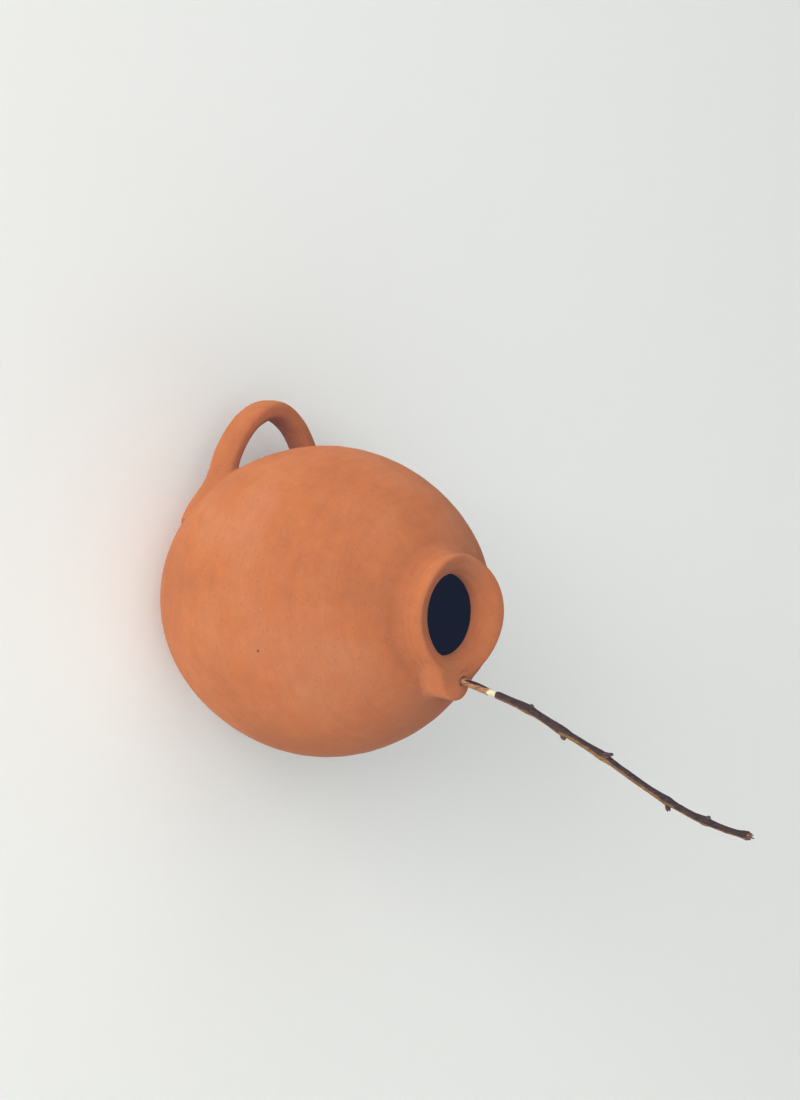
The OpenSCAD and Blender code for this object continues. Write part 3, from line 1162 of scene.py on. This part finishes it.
@dataclass
class StrapHandle:
    """A pulled flat strap that arches over the back of the belly and is smeared on at its ends."""

    reach: float = 31.0
    width: float = 18.0
    thick: float = 10.8
    leg_thick: float = 8.6
    turned: float = 5.3
    angles: tuple[float, ...] = (
        0, 2.4, 5.4, 9.5, 12.8, 15.4, 17.7, 20.1, 24.2, 28, 32, 37, 43, 51, 56, 60)
    radii: tuple[float, ...] = (
        109.4, 109.1, 107.8, 104.6, 101.4, 98.2, 95.2, 92.0, 86.4, 80.6, 75.8, 73.3, 71.9, 70.4,
        69.0, 67.0)
    fillet: float = 1.6
    foot_end: float = 55.2
    step: float = 0.75

    def centre_line(self) -> dict[str, np.ndarray]:
        """Returns the strap's centre points, outward normals, angles and half thickness."""
        a = np.linspace(-60, 60, 241)
        size = np.abs(a)
        outer = through(self.angles, self.radii, size)
        rad = np.radians(a + self.turned)
        skin = np.stack([outer * np.sin(rad), outer * np.cos(rad)], -1)
        run = np.gradient(skin, axis=0)
        run = run / np.linalg.norm(run, axis=1)[:, None]
        normal = np.stack([-run[:, 1], run[:, 0]], -1)
        normal = np.where((normal * skin).sum(-1)[:, None] < 0, -normal, normal)
        half = self.thick / 2 - (self.thick - self.leg_thick) / 2 * smoothstep(2, 20, size)
        return {"spot": skin - normal * half[:, None], "normal": normal, "half": half, "angle": a}

    def build(self, pot: TurnedSolid) -> bpy.types.Object:
        """Sweeps the strap and smooths its feet into the belly.

        Args:
            pot: the pot's outside.

        Returns:
            The closed handle, its feet sunk a little into the belly.
        """
        line = self.centre_line()
        spot, normal, half = line["spot"], line["normal"], line["half"]

        def strap(points: np.ndarray) -> np.ndarray:
            """Measures to the strap, whose section is a flat band with worn corners.

            Args:
                points: (n, 3) array in millimetres.

            Returns:
                Signed distances in millimetres, negative inside.
            """
            near = np.zeros(len(points), int)
            flat = points[:, [0, 2]]
            for part in np.array_split(np.arange(len(points)), max(1, len(points) // 20000)):
                gap = ((flat[part, None, :] - spot[None, :, :]) ** 2).sum(-1)
                near[part] = gap.argmin(1)
            away = flat - spot[near]
            rise = (away * normal[near]).sum(-1)
            along = away[:, 0] * normal[near][:, 1] - away[:, 1] * normal[near][:, 0]
            angle = line["angle"][near]
            across = -points[:, 1] - self.reach + 0.35 * np.sin(np.radians(angle * 7.0))
            wide = self.width / 2 + 0.5 * smoothstep(28, 50, np.abs(angle))
            tall = half[near] * (1 + 0.03 * np.sin(np.radians(angle * 11.0) + 1.0))
            # The outer face is crowned and the inner one nearly flat
            tall = tall - 0.55 * (across / wide) ** 2 * (rise > 0)
            power = 3.4
            u = np.abs(rise / tall) + 1e-6
            v = np.abs(across / wide) + 1e-6
            g = (u**power + v**power) ** (1 / power)
            slope = np.hypot(u ** (power - 1) / tall, v ** (power - 1) / wide)
            body = (g - 1) / np.maximum(g ** (1 - power) * slope, 1e-3)
            body = np.maximum(body, -half[near])
            return np.where(body > 0, np.hypot(body, along * (np.abs(along) > 0.6)), body)

        def handle(points: np.ndarray) -> np.ndarray:
            """Measures to the strap with its fillets, less the pot's inside.

            Args:
                points: (n, 3) array in millimetres.

            Returns:
                Signed distances in millimetres, negative inside.
            """
            wall = pot.distance(points)
            bar = strap(points)
            turn = np.degrees(np.arctan2(points[:, 0], points[:, 2])) - self.turned
            sink = 0.06 + 0.3 * smoothstep(self.fillet - 0.8, self.fillet + 0.6, bar)
            shape = soft_join(wall + sink, bar, self.fillet)
            shape = np.maximum(shape, bar - self.fillet - 0.9)
            shape = np.maximum(shape, -(wall + 3.0))
            radius = np.hypot(points[:, 0], points[:, 2])
            end = (np.abs(turn) - self.foot_end) * np.pi / 180 * radius
            end = end + 0.5 * np.sin(points[:, 1] * 0.9)
            return -soft_join(-shape, -end, 1.2)

        points, quads = surface_of(handle, (-74, -52, 22), (80, -12, 114), self.step)
        piece = new_object("strap_handle_clay", points, quads)
        face_outwards(piece.data)
        LOG.info("%s: %d vertices", piece.name, len(piece.data.vertices))
        return piece


# ---------------------------------------------------------------- the twig


@dataclass(frozen=True)
class SideGrowth:
    """A bud, stub or frayed stub on the side of the twig."""

    place: float
    side: int
    length: float
    foot: float
    strands: int = 1
    lean: float = 0.9


@dataclass
class Twig:
    """The twig: a whittled and half-peeled end, a bark sleeve, side buds and a broken tip."""

    route: tuple[tuple[float, float], ...] = (
        (0, 0), (18, -4.2), (28, -6.4), (44, -10.8), (63, -18.6), (76, -23.6), (90, -29.3),
        (102, -35), (115, -41), (128, -46.3), (140, -50.5), (151, -53.4), (162, -55.6),
        (174, -56.8))
    hole: TwigHole = field(default_factory=TwigHole)
    peg: float = 1.9
    bark: float = 2.05
    bark_from: float = 22.4
    peg_depth: float = 13.0
    length: float = 184.0
    growths: tuple[SideGrowth, ...] = (
        SideGrowth(2.95, 1, 1.9, 1.5), SideGrowth(4.1, -1, 2.6, 1.75, 1, 0.7),
        SideGrowth(5.95, 1, 6.4, 1.9, 3, 0.5), SideGrowth(9.0, -1, 3.8, 1.7, 3, 0.75),
        SideGrowth(10.9, 1, 1.5, 1.3))

    def point(self, s: np.ndarray) -> np.ndarray:
        """Finds points on the twig's centre line.

        Args:
            s: route places, from 0 at the hole to 13 at the tip.

        Returns:
            (n, 3) array in millimetres, in the CAD frame.
        """
        places = np.arange(len(self.route))
        out = through(places, [p[0] for p in self.route], s)
        up = through(places, [p[1] for p in self.route], s)
        return np.stack(
            [np.full_like(out, self.hole.x), -self.hole.front - out, up - self.hole.drop], -1
        )

    def frame_at(self, s: float) -> tuple[np.ndarray, np.ndarray]:
        """Finds which way the twig runs at one place.

        Args:
            s: the route place.

        Returns:
            The direction of growth and the upward normal, both of unit length.
        """
        ends = self.point(np.array([s - 0.05, s + 0.05]))
        run = (ends[1] - ends[0]) / np.linalg.norm(ends[1] - ends[0])
        return run, np.cross(run, [1.0, 0.0, 0.0])

    def tree(self) -> bpy.types.NodeTree:
        """Builds the tree that sweeps strands into tubes with ridged, fibrous skin.

        Returns:
            The geometry node tree.
        """
        tree, group = new_tree(
            "grow_strands",
            (("Sides", "NodeSocketInt", 20), ("Ridge", "NodeSocketFloat", 0.0001),
             ("Ridge Width", "NodeSocketFloat", 0.001), ("Seed", "NodeSocketFloat", 3.0),
             ("Skin", "NodeSocketMaterial", None)),
        )
        curve = add_node(tree, "GeometryNodeMeshToCurve", None, {0: group.outputs[0]})
        straight = add_node(
            tree, "GeometryNodeSetCurveNormal", {"mode": "Z_UP"}, {0: curve.outputs[0]}
        )
        ring = add_node(
            tree, "GeometryNodeCurvePrimitiveCircle", None,
            {"Resolution": group.outputs["Sides"], "Radius": 1.0},
        )
        thick = add_node(
            tree, "GeometryNodeInputNamedAttribute", {"data_type": "FLOAT"}, {"Name": "thick"}
        )
        tube = add_node(
            tree, "GeometryNodeCurveToMesh", None,
            {"Curve": straight.outputs[0], "Profile Curve": ring.outputs[0],
             "Scale": thick.outputs[0], "Fill Caps": True},
        )
        normal = add_node(tree, "GeometryNodeInputNormal").outputs[0]
        place = add_node(tree, "GeometryNodeInputPosition").outputs[0]
        stretched = add_node(
            tree, "ShaderNodeVectorMath", {"operation": "MULTIPLY"},
            {0: place, 1: (1.0, 0.16, 0.8)},
        )
        fine = math_node(tree, "DIVIDE", 1.0, group.outputs["Ridge Width"])
        noise = add_node(
            tree, "ShaderNodeTexNoise", {"noise_dimensions": "4D"},
            {"Vector": stretched.outputs[0], "W": group.outputs["Seed"], "Scale": fine.outputs[0],
             "Detail": 3.0, "Roughness": 0.6},
        )
        height = map_range(tree, noise.outputs[0], 0.25, 0.75, -1.0, 1.0)
        amount = math_node(tree, "MULTIPLY", height.outputs[0], group.outputs["Ridge"])
        push = add_node(
            tree, "ShaderNodeVectorMath", {"operation": "SCALE"},
            {0: normal, "Scale": amount.outputs[0]},
        )
        lift = add_node(tree, "ShaderNodeSeparateXYZ", None, {0: normal})
        marked = add_node(
            tree, "GeometryNodeStoreNamedAttribute", {"data_type": "FLOAT", "domain": "POINT"},
            {"Geometry": tube.outputs[0], "Name": "lift", "Value": lift.outputs[2]},
        )
        ridged = add_node(
            tree, "GeometryNodeSetPosition", None,
            {"Geometry": marked.outputs[0], "Offset": push.outputs[0]},
        )
        finish_tree(tree, ridged.outputs[0], group.outputs["Skin"])
        return tree

    def strands(
        self, name: str, chains: Sequence[tuple[np.ndarray, np.ndarray, np.ndarray]],
        tree: bpy.types.NodeTree, skin: bpy.types.Material, ridge: float, width: float,
        sides: int = 20, seed: float = 3.0,
    ) -> bpy.types.Object:
        """Grows tubes along chains of points.

        Args:
            name: the piece's name.
            chains: for each strand its points, radii and places along the twig, in millimetres.
            tree: the sweeping tree.
            skin: the material.
            ridge: depth of the ridges in millimetres.
            width: width of the ridges in millimetres.
            sides: faces round each tube.
            seed: fixed seed of the ridges.

        Returns:
            The finished plain mesh object.
        """
        spots, thick, along, edges = [], [], [], []
        for points, radii, places in chains:
            first = len(spots)
            spots.extend(np.asarray(points).tolist())
            thick.extend((np.asarray(radii) * MM).tolist())
            along.extend(np.asarray(places, float).tolist())
            edges.extend((i, i + 1) for i in range(first, len(spots) - 1))
        mesh = bpy.data.meshes.new(name + "_line")
        mesh.from_pydata((np.array(spots) * MM).tolist(), edges, [])
        for label, values in (("thick", thick), ("along", along)):
            mesh.attributes.new(label, "FLOAT", "POINT").data.foreach_set("value", values)
        source = bpy.data.objects.new(name + "_line", mesh)
        bpy.context.scene.collection.objects.link(source)
        piece = bake_tree(
            source, tree,
            {"Sides": sides, "Ridge": ridge * MM, "Ridge Width": width * MM, "Seed": seed,
             "Skin": skin}, name)
        face_outwards(piece.data)
        LOG.info("%s: %d vertices", name, len(piece.data.vertices))
        return piece

    def places_between(self, first: float, last: float, gap: float) -> np.ndarray:
        """Returns evenly spaced distances along the twig, in millimetres."""
        return np.linspace(first, last, max(3, int((last - first) / gap) + 1))

    def at_distance(self, along: np.ndarray) -> tuple[np.ndarray, np.ndarray]:
        """Finds points on the twig by their distance from the hole.

        Args:
            along: distances in millimetres, negative in the hole.

        Returns:
            The points, in millimetres, and their route places.
        """
        s = np.linspace(0, len(self.route) - 1, 1200)
        line = self.point(s)
        run = np.concatenate([[0], np.cumsum(np.linalg.norm(np.diff(line, axis=0), axis=1))])
        place = np.interp(along, run, s)
        spots = self.point(place)
        behind = np.minimum(along, 0.0)
        in_hole = self.point(np.zeros(1)) + behind[:, None] * self.hole.axis()
        spots = np.where((along < 0)[:, None], in_hole, spots)
        return spots, place

    def bark_radius(self, place: np.ndarray) -> np.ndarray:
        """Works out the sleeve's radius: tapering, swollen at each bud and flared at the tip.

        Args:
            place: route places.

        Returns:
            The radius at each place, in millimetres.
        """
        radius = self.bark * (1 - 0.22 * place / 13)
        for g in self.growths:
            node_swell = 0.42 * bell(place, g.place - 0.05, 0.22)
            radius = radius + node_swell + 0.22 * bell(place, g.place - 0.3, 0.4)
        return radius + 0.65 * smoothstep(12.35, 12.95, place)

    def build(
        self, wood: bpy.types.Material, bark: bpy.types.Material, bud: bpy.types.Material
    ) -> dict[str, bpy.types.Object]:
        """Grows the wood, the bark and the side growths.

        Args:
            wood: the peeled wood's material.
            bark: the bark's material.
            bud: the material of buds and frayed stubs.

        Returns:
            The pieces by name.
        """
        tree = self.tree()
        d = self.places_between(-self.peg_depth, self.bark_from + 2.5, 0.4)
        spots, _ = self.at_distance(d)
        radius = self.peg - 0.9 * smoothstep(-11.5, -self.peg_depth, d) + 0.10 * np.cos(d * 1.1)
        radius = radius - 0.16 * smoothstep(16.8, 18.0, d)
        s_end = np.linspace(12.2, 13.0, 14)
        tip = self.point(s_end)
        core = 1.35 + 0.15 * np.cos(s_end * 40)
        wood_piece = self.strands(
            "peeled_wood_core",
            [(spots, radius, d), (tip, core, np.full(len(tip), 8.0))],
            tree, wood, 0.10, 1.3, 24)
        # The bark sleeve, with a thick cut edge at its start and a ragged end
        d = self.places_between(self.bark_from, self.length, 0.45)
        spots, place = self.at_distance(d)
        keep = place < 12.9
        spots, place, d = spots[keep], place[keep], d[keep]
        radius = self.bark_radius(place)
        radius[0] -= 0.12
        sleeve = [(spots, radius, d)]
        # A strip of bark is left on the upper side of the peeled stretch
        strips = ((1.5, 17.4, 0.92, -0.35), (3.0, 15.8, 0.55, 0.75), (0.8, 9.0, 0.5, -1.15))
        for first, last, wide, side in strips:
            d = self.places_between(first, last, 0.5)
            spots, _ = self.at_distance(d)
            taper = np.sin(np.clip((d - first) / (last - first), 0.02, 0.98) * np.pi) ** 0.35
            spots = spots + np.array([side, 0.0, 0.0]) + np.array([0.0, -0.22, 1.0]) * (
                math.sqrt(self.peg**2 - side**2) - wide * 0.62)
            sleeve.append((spots, wide * taper, np.full(len(d), 26.0)))
        bark_piece = self.strands("bark_sleeve", sleeve, tree, bark, 0.13, 1.1, 26, 8.0)
        rng = np.random.default_rng(12)
        chains = []
        for g in self.growths:
            run, up = self.frame_at(g.place)
            root = self.point(np.array([g.place]))[0]
            for k in range(g.strands):
                turn = (k - (g.strands - 1) / 2) * 0.5
                aside = np.array([1.0, 0.0, 0.0]) * turn
                grow = g.side * up * g.lean + run * 0.85 + aside
                grow = grow / np.linalg.norm(grow)
                length = g.length * (1.0 - 0.22 * k)
                t = np.linspace(0, 1, 12)
                base = root + up * g.side * 0.7 + aside * 0.8 - run * 0.8
                bend = g.side * up * 0.35 * rng.uniform(-1, 1)
                spots = base + np.outer(t * (length + 1.6), grow)
                spots = spots + np.outer(t**2 * length * 0.5, bend)
                scale = g.foot / (1 + 0.35 * (g.strands - 1))
                radii = scale * np.sqrt(np.maximum(1 - (t * 0.985) ** 2.2, 0.02))
                radii = radii * (1 + 0.15 * np.cos(t * 9 + k * 2))
                chains.append((spots, radii, np.full(12, 60.0 + 20 * g.place)))
        # Fibres at the broken tip
        run, up = self.frame_at(12.95)
        root = self.point(np.array([12.86]))[0]
        for k in range(7):
            a = k * math.tau / 7 + 0.4
            rim = np.array([math.cos(a), 0, 0]) + up * math.sin(a)
            length = rng.uniform(1.2, 2.9)
            t = np.linspace(0, 1, 7)
            spots = root + rim * 1.45 + np.outer(t * length, run + rim * rng.uniform(-0.05, 0.28))
            chains.append((spots, 0.62 * (1 - 0.75 * t) + 0.05, np.full(7, 175.0)))
        bud_piece = self.strands("buds_and_stubs", chains, tree, bud, 0.10, 0.8, 14, 5.0)
        return {"wood": wood_piece, "bark": bark_piece, "buds": bud_piece}


# ---------------------------------------------------------------- the room


@dataclass
class Room:
    """A pale wall behind the pot, a pale floor far below it, soft light and the camera."""

    wall_at: float = 0.3
    half_width: float = 2600.0
    top: float = 2200.0
    floor: float = -1300.0
    depth: float = 2600.0
    cove: float = 300.0
    opening: float = 43.5
    window_side: tuple[float, float, float] = (-0.9, -0.1, 0.42)
    side_glow: float = 1.74
    room_glow: float = 0.13
    least_glow: float = 0.12
    haze: tuple[float, float, float] = (0.0110, 0.0152, 0.0296)
    pot_middle: tuple[float, float, float] = (0.0, -0.09, 0.0)
    lens: float = 70.0
    camera_side: float = math.radians(-48.4256)
    camera_rise: float = math.radians(4.4273)
    camera_at: tuple[float, float, float] = (-0.8434, -0.8846, 0.1180)

    def build(self, paint: bpy.types.Material, floor: bpy.types.Material) -> None:
        """Sets up the wall and floor, with an opening that the pot's back covers.

        Args:
            paint: the wall's paint.
            floor: the floor's paint.
        """
        ring = np.radians(np.arange(0, 360, 5.625))
        verts: list[tuple[float, float, float]] = []
        for a in ring:
            verts.append((self.opening * math.sin(a), self.wall_at, self.opening * math.cos(a)))
        bottom = self.floor + self.cove
        for a in ring:
            x, z = math.sin(a), math.cos(a)
            reach = min(
                self.half_width / max(abs(x), 1e-9),
                self.top / z if z > 1e-9 else 1e9,
                bottom / z if z < -1e-9 else 1e9,
            )
            verts.append((x * reach, self.wall_at, z * reach))
        n = len(ring)
        faces: list[Sequence[int]] = [(i, (i + 1) % n, n + (i + 1) % n, n + i) for i in range(n)]
        for corner_x, corner_z in ((1, self.top), (1, bottom), (-1, bottom), (-1, self.top)):
            target = math.atan2(corner_x * self.half_width, corner_z) % math.tau
            i = int(target / math.tau * n) % n
            verts.append((corner_x * self.half_width, self.wall_at, corner_z))
            faces.append((n + i, n + (i + 1) % n, len(verts) - 1))
        start = len(verts)
        bend = np.radians(np.linspace(0, 90, 13))
        strip = [
            (self.wall_at - self.cove * (1 - math.cos(b)), bottom - self.cove * math.sin(b))
            for b in bend
        ]
        strip.append((-self.depth, self.floor))
        for y, z in strip:
            verts.extend([(-self.half_width, y, z), (self.half_width, y, z)])
        for i in range(len(strip) - 1):
            k = start + 2 * i
            faces.append((k, k + 1, k + 3, k + 2))
        room = new_object("wall_and_floor", np.array(verts), faces)
        mesh = room.data
        for polygon in mesh.polygons:
            polygon.use_smooth = False
        turned = [p.index for p in mesh.polygons if p.normal.y > 0.01 or p.normal.z < -0.01]
        if turned:
            work = bmesh.new()
            work.from_mesh(mesh)
            work.faces.ensure_lookup_table()
            bmesh.ops.reverse_faces(work, faces=[work.faces[i] for i in turned])
            work.to_mesh(mesh)
            work.free()
        floor_from = len(faces) - len(strip) + 1
        mesh.materials.append(paint)
        mesh.materials.append(floor)
        for polygon in mesh.polygons:
            polygon.material_index = int(polygon.index >= floor_from)

    def light(self) -> None:
        """Lights the room as by one large window high on the left and a bright room."""
        world = bpy.data.worlds.new("soft_room")
        world.use_nodes = True
        tree = world.node_tree
        tree.nodes.clear()
        # The room is bright high on its window side, faintly lit in front and dim elsewhere
        towards = add_node(tree, "ShaderNodeTexCoord").outputs["Generated"]
        split = add_node(tree, "ShaderNodeSeparateXYZ", None, {0: towards})
        window_side = add_node(
            tree, "ShaderNodeVectorMath", {"operation": "DOT_PRODUCT"},
            {0: towards, 1: self.window_side},
        )
        lit = math_node(tree, "MAXIMUM", window_side.outputs["Value"], 0.0)
        facing = math_node(tree, "MULTIPLY_ADD", split.outputs[1], -self.room_glow, self.least_glow)
        room = math_node(tree, "MAXIMUM", facing.outputs[0], self.least_glow)
        glow = math_node(tree, "MULTIPLY_ADD", lit.outputs[0], self.side_glow, room.outputs[0])
        around = add_node(
            tree, "ShaderNodeBackground", None,
            {"Color": linear("#ffffff"), "Strength": glow.outputs[0]},
        )
        seen = add_node(tree, "ShaderNodeBackground", None, {"Color": linear("#dcdedb")})
        direct = add_node(tree, "ShaderNodeLightPath").outputs["Is Camera Ray"]
        sky = add_node(
            tree, "ShaderNodeMixShader", None, {0: direct, 1: around.outputs[0], 2: seen.outputs[0]}
        )
        add_node(tree, "ShaderNodeOutputWorld", None, {0: sky.outputs[0]})
        bpy.context.scene.world = world
        self.area("window", (-2.3, -0.7, 0.95), 3.2, 1.6, 76.0, "#fffdf9")

    def area(
        self, name: str, towards: Sequence[float], away: float, size: float, power: float,
        colour: str,
    ) -> None:
        """Adds a soft light.

        Args:
            name: the light's name.
            towards: direction from the pot to the light.
            away: distance from the pot in metres.
            size: side of the square light in metres.
            power: strength in watts.
            colour: sRGB hex colour.
        """
        data = bpy.data.lights.new(name, "AREA")
        data.shape = "SQUARE"
        data.size = size
        data.energy = power
        data.color = linear(colour)[:3]
        lamp = bpy.data.objects.new(name, data)
        middle = Vector(self.pot_middle)
        at = Vector(towards).normalized() * away + middle
        facing = (at - middle).to_track_quat("Z", "Y").to_matrix().to_4x4()
        lamp.matrix_world = Matrix.Translation(at) @ facing
        lamp.visible_camera = False
        bpy.context.scene.collection.objects.link(lamp)

    def camera(self) -> None:
        """Sets the camera to the left of the pot and just above its middle, with a 70 mm lens."""
        data = bpy.data.cameras.new("view")
        data.lens = self.lens
        data.sensor_width = 36.0
        data.clip_end = 60.0
        camera = bpy.data.objects.new("view", data)
        side, rise = self.camera_side, self.camera_rise
        level = math.cos(rise)
        back = Vector((math.sin(side) * level, -math.cos(side) * level, math.sin(rise)))
        right = Vector((math.cos(side), math.sin(side), 0.0))
        up = back.cross(right)
        turn = Matrix((right, up, back)).transposed().to_4x4()
        camera.matrix_world = Matrix.Translation(Vector(self.camera_at)) @ turn
        bpy.context.scene.collection.objects.link(camera)
        bpy.context.scene.camera = camera
        self.grade()

    def grade(self) -> None:
        """Shows true colours, with blacks that stay a faint blue as in a hazy print."""
        look = bpy.context.scene.view_settings
        look.view_transform = "Standard"
        look.use_curve_mapping = True
        for curve, lift in zip(look.curve_mapping.curves, self.haze):
            curve.points[0].location = (0.0, lift)
        look.curve_mapping.update()


# ---------------------------------------------------------------- all of it


def settle(piece: bpy.types.Object, body: Body, nodes: Sequence[str]) -> None:
    """Hangs a finished piece on its body and hides the CAD nodes it stands for.

    Args:
        piece: the finished piece.
        body: the body it rides on.
        nodes: the CAD nodes that it replaces.
    """
    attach(piece, body.value)
    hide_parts(*nodes)
    LOG.info("%s stands for %s on %s", piece.name, ", ".join(nodes), body.value)


def main() -> None:
    """Builds every piece and the room."""
    clay = Terracotta().material()
    pot = ThrownPot()
    shell = pot.build(clay)
    outside = pot.solid_table()
    hole = TwigHole()
    lug = PerchLug().build(outside, hole)
    handle = StrapHandle().build(outside)
    for piece in (lug, handle):
        piece.data.materials.append(clay)
    settle(shell, Body.POT, ("back_disc", "belly_shell", "neck_collar", "rim"))
    settle(lug, Body.POT, ("perch_lug",))
    settle(handle, Body.POT, ("strap_handle",))
    bark = TwigSkin(
        "twig_bark", "#1a100c", "#452e20", "#8d6529", "#57391a", 0.0,
        ((20, 0.52), (50, 0.54), (66, 0.40), (72, 0.83), (130, 0.81), (142, 0.42), (190, 0.34)))
    bud = TwigSkin(
        "bud_scales", "#33231f", "#5c4032", "#8d6238", "#5f412a", 0.05,
        ((20, 0.35), (190, 0.35)))
    twig = Twig(hole=hole).build(PeeledWood().material(), bark.material(), bud.material())
    settle(twig["wood"], Body.PERCH, ("twig_wood",))
    settle(twig["bark"], Body.PERCH, ("twig_bark",))
    settle(twig["buds"], Body.PERCH, ("twig_spurs",))
    room = Room()
    room.build(WallPaint().material(), WallPaint("floor_paint", "#dadbd8").material())
    room.light()
    room.camera()


if __name__ == "__main__":
    main()
